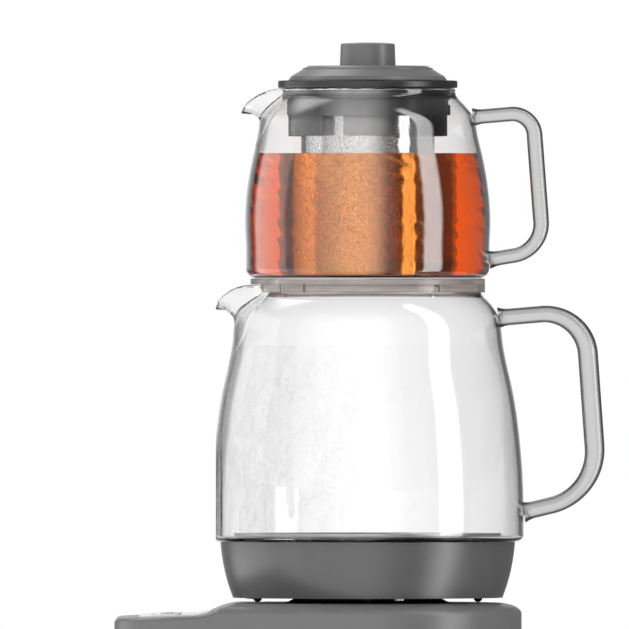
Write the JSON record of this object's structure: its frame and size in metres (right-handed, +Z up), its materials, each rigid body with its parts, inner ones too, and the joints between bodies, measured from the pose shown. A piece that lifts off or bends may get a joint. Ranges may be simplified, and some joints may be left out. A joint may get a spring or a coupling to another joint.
{
  "type": "automatic tea maker",
  "caption": "Two-tier electric tea maker: glass teapot with hanging infuser and lid on a glass kettle, docked on a powered base with a sloping button panel.",
  "frame": {"origin": "on the worktop, at the middle of the machine's bounding box seen from above", "axes": "+Z up; +X towards the handles, -X towards the spouts and the control panel; +Y to the machine's far side seen with the handles on the right"},
  "size_m": [0.2512, 0.16, 0.3293],
  "materials": {
    "grey_plastic": "fine satin moulded, warm mid grey",
    "collar_plastic": "satin moulded, light grey",
    "dark_plastic": "fine satin moulded, near black",
    "ring_plastic": "translucent heat-resistant plastic, warm grey",
    "panel_gloss": "high gloss inlay",
    "button_plastic": "gloss keys",
    "clear_glass": "clear borosilicate, blown, fire-polished rims",
    "steel_mesh": "fine etched stainless mesh",
    "stainless": "brushed stainless",
    "cast_aluminium": "cast, dull",
    "contact_brass": "plain brass",
    "screw_steel": "zinc plated",
    "circuit_board": "solder mask over glass fibre",
    "component_black": "moulded component",
    "component_blue": "moulded relay case",
    "component_yellow": "taped transformer",
    "light_pipe": "frosted light pipe",
    "rubber": "matt soft rubber",
    "silicone": "translucent white silicone"
  },
  "bodies": {
    "base": {"base_housing": "grey_plastic", "base_cover": "dark_plastic", "rubber_feet": "rubber", "base_screws": "screw_steel", "control_panel": "panel_gloss", "control_board": "circuit_board", "tactile_switches": "component_black", "indicator_lights": "light_pipe", "buzzer": "component_black", "power_board": "circuit_board", "transformer": "component_yellow", "relay": "component_blue", "mains_gland": "dark_plastic", "dock_plate": "dark_plastic", "dock_connector": "dark_plastic", "dock_contacts": "contact_brass"},
    "power_button": {"power_button": "button_plastic"},
    "brew_button": {"brew_button": "button_plastic"},
    "boil_button": {"boil_button": "button_plastic"},
    "keep_warm_button": {"keep_warm_button": "button_plastic"},
    "kettle": {"kettle_glass": "clear_glass", "kettle_handle": "clear_glass", "kettle_cup": "grey_plastic", "kettle_plate": "grey_plastic", "kettle_feet": "rubber", "kettle_screws": "screw_steel", "kettle_socket": "dark_plastic", "socket_contacts": "contact_brass", "heater_seal": "silicone", "heater_plate": "stainless", "heating_element": "cast_aluminium", "temperature_probe": "stainless"},
    "seat_ring": {"seat_ring": "ring_plastic"},
    "teapot": {"teapot_glass": "clear_glass", "teapot_handle": "clear_glass"},
    "infuser": {"infuser_rim": "dark_plastic", "infuser_collar": "collar_plastic", "infuser_basket": "steel_mesh", "basket_band": "stainless", "basket_pan": "stainless"},
    "lid": {"lid_cover": "grey_plastic", "lid_knob": "grey_plastic", "knob_screw": "screw_steel"}
  },
  "joints": [
    {"name": "kettle_lift", "type": "slide", "parent": "base", "child": "kettle", "axis": [0, 0, 1], "range_m": [0, 0.06]},
    {"name": "seat_ring_lift", "type": "slide", "parent": "kettle", "child": "seat_ring", "axis": [0, 0, 1], "range_m": [0, 0.03]},
    {"name": "teapot_lift", "type": "slide", "parent": "seat_ring", "child": "teapot", "axis": [0, 0, 1], "range_m": [0, 0.05]},
    {"name": "infuser_lift", "type": "slide", "parent": "teapot", "child": "infuser", "axis": [0, 0, 1], "range_m": [0, 0.11]},
    {"name": "lid_lift", "type": "slide", "parent": "infuser", "child": "lid", "axis": [0, 0, 1], "range_m": [0, 0.04]},
    {"name": "power_press", "type": "slide", "parent": "base", "child": "power_button", "axis": [0.0297, 0, -0.9996], "range_m": [0, 0.0012], "stiffness_N_per_m": 600},
    {"name": "brew_press", "type": "slide", "parent": "base", "child": "brew_button", "axis": [0.0297, 0, -0.9996], "range_m": [0, 0.0012], "stiffness_N_per_m": 600},
    {"name": "boil_press", "type": "slide", "parent": "base", "child": "boil_button", "axis": [0.0297, 0, -0.9996], "range_m": [0, 0.0012], "stiffness_N_per_m": 600},
    {"name": "keep_warm_press", "type": "slide", "parent": "base", "child": "keep_warm_button", "axis": [0.0297, 0, -0.9996], "range_m": [0, 0.0012], "stiffness_N_per_m": 600}
  ]
}
